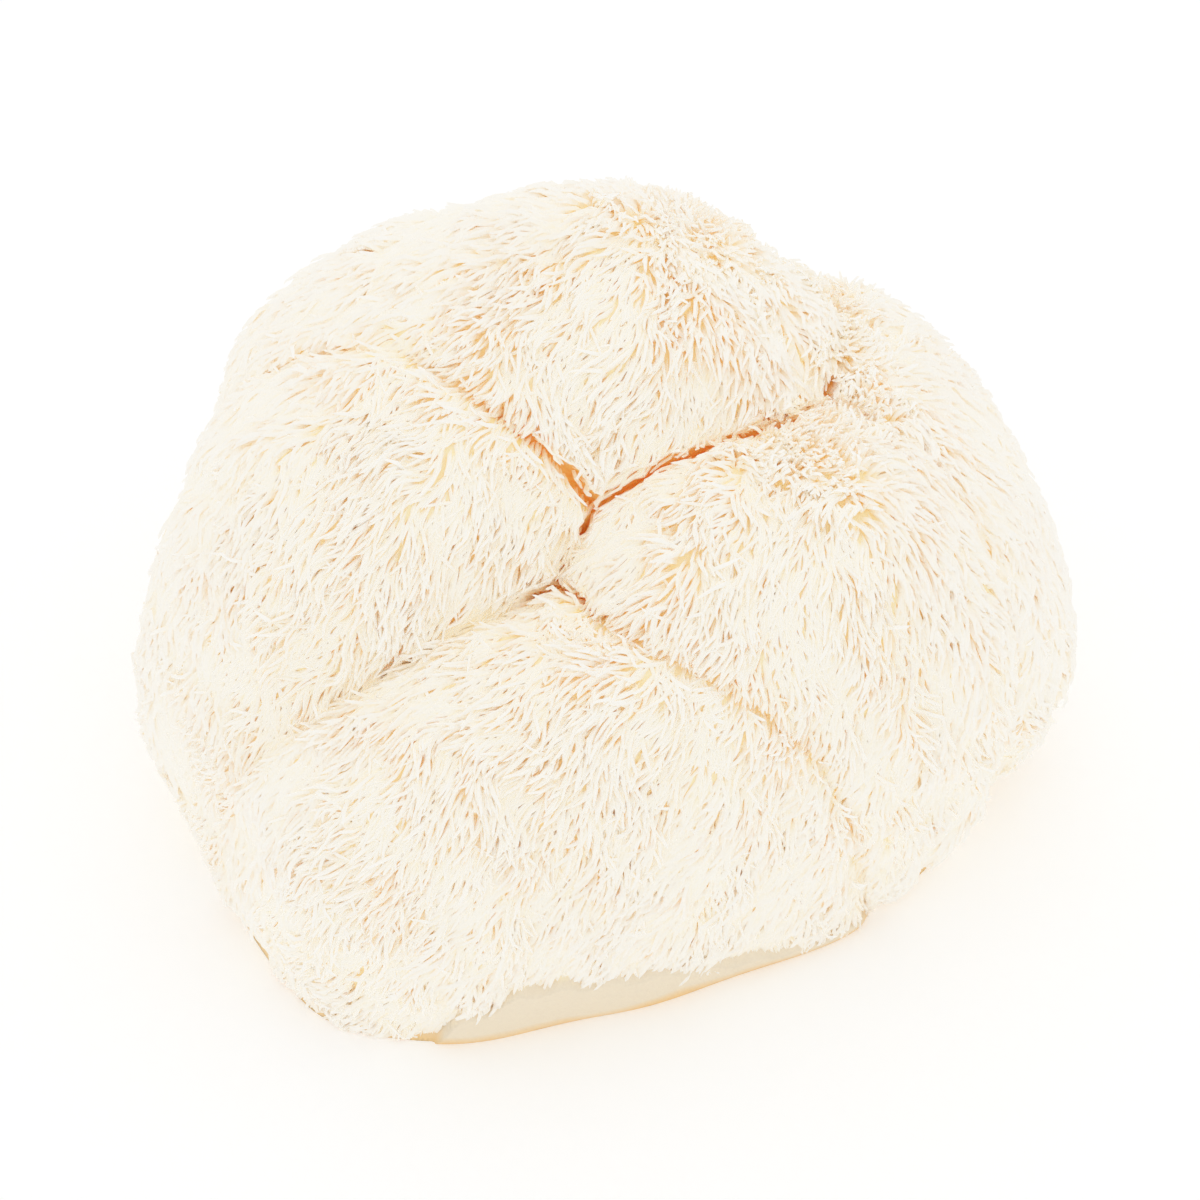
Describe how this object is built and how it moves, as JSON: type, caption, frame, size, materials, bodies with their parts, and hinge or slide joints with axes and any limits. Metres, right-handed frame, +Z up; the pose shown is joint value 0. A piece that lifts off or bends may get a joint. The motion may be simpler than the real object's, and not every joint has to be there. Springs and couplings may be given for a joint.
{
  "type": "lion's mane mushroom",
  "caption": "Cream lion's mane mushroom: a cluster of rounded lobes covered in short hanging spines, pressed together round tight clefts, with a flat cut base.",
  "frame": {"origin": "on the flat cut base, under the middle of the mushroom's outline seen from above", "axes": "+Z up from the base, X along the mushroom's widest way, -Y towards the low front lobe"},
  "size_m": [0.1386, 0.1114, 0.094],
  "materials": {
    "flesh": "soft matte cream flesh with fine spines, tan in the clefts"
  },
  "bodies": {
    "root": {"mushroom": "flesh"}
  },
  "joints": []
}
